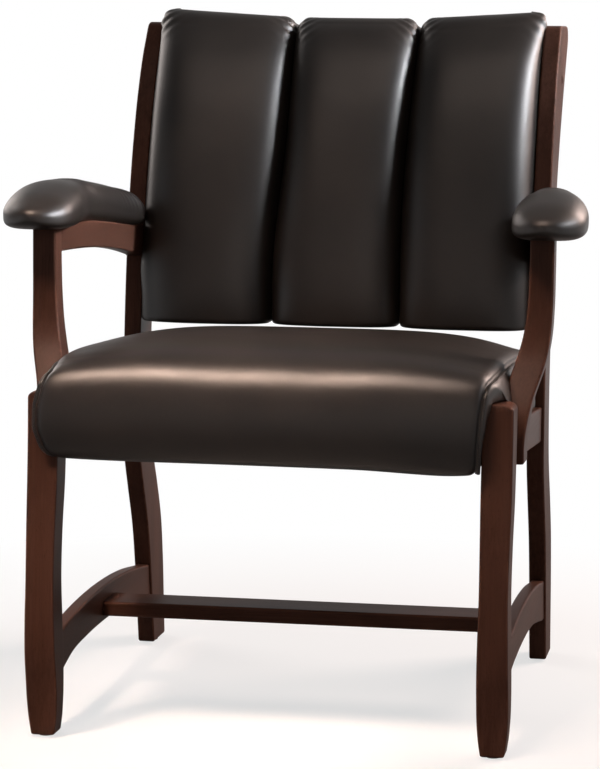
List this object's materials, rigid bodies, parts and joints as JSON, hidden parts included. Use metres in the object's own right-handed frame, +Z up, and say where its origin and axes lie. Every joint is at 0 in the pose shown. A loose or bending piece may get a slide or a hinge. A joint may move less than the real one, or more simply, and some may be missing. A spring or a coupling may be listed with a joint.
{
  "type": "client chair",
  "caption": "Wooden client chair with a leather seat cushion, an upright-channelled leather back between raked posts, padded arms on S-curved supports and arched side stretchers.",
  "frame": {"origin": "bottom centre of the whole chair, on the floor under the glides", "axes": "+Z up, -Y towards the sitter's front, +X to the right of someone who faces the chair's front"},
  "size_m": [0.7438, 0.7898, 0.9154],
  "materials": {
    "cherry_wood": "satin dark cherry lacquer",
    "black_leather": "smooth semi-gloss",
    "plywood": "raw",
    "black_cambric": "matt woven",
    "zinc_steel": "zinc plated",
    "glide_nylon": "matt"
  },
  "bodies": {
    "root": {"arm_pad_board_left": "plywood", "arm_pad_board_right": "plywood", "arm_pad_left": "black_leather", "arm_pad_right": "black_leather", "arm_rail_left": "cherry_wood", "arm_rail_right": "cherry_wood", "arm_support_left": "cherry_wood", "arm_support_right": "cherry_wood", "back_board": "plywood", "back_channel_left": "black_leather", "back_channel_middle": "black_leather", "back_channel_right": "black_leather", "back_cover": "black_leather", "back_lower_rail": "plywood", "back_screw_lower_left": "zinc_steel", "back_screw_lower_right": "zinc_steel", "back_screw_upper_left": "zinc_steel", "back_screw_upper_right": "zinc_steel", "back_upper_rail": "plywood", "block_bolt_front_left": "zinc_steel", "block_bolt_front_right": "zinc_steel", "block_bolt_rear_left": "zinc_steel", "block_bolt_rear_right": "zinc_steel", "corner_block_front_left": "plywood", "corner_block_front_right": "plywood", "corner_block_rear_left": "plywood", "corner_block_rear_right": "plywood", "cross_stretcher": "cherry_wood", "deck_screw_front_left": "zinc_steel", "deck_screw_front_right": "zinc_steel", "deck_screw_rear_left": "zinc_steel", "deck_screw_rear_right": "zinc_steel", "front_leg_left": "cherry_wood", "front_leg_right": "cherry_wood", "glide_front_left": "glide_nylon", "glide_front_right": "glide_nylon", "glide_rear_left": "glide_nylon", "glide_rear_right": "glide_nylon", "post_plug_lower_left": "cherry_wood", "post_plug_lower_right": "cherry_wood", "post_plug_upper_left": "cherry_wood", "post_plug_upper_right": "cherry_wood", "rear_post_left": "cherry_wood", "rear_post_right": "cherry_wood", "seat_cushion": "black_leather", "seat_deck": "plywood", "seat_dust_cover": "black_cambric", "seat_front_rail": "cherry_wood", "seat_rear_rail": "cherry_wood", "seat_side_rail_left": "cherry_wood", "seat_side_rail_right": "cherry_wood", "side_stretcher_left": "cherry_wood", "side_stretcher_right": "cherry_wood", "support_screw_lower_left": "zinc_steel", "support_screw_lower_right": "zinc_steel", "support_screw_upper_left": "zinc_steel", "support_screw_upper_right": "zinc_steel"}
  },
  "joints": []
}
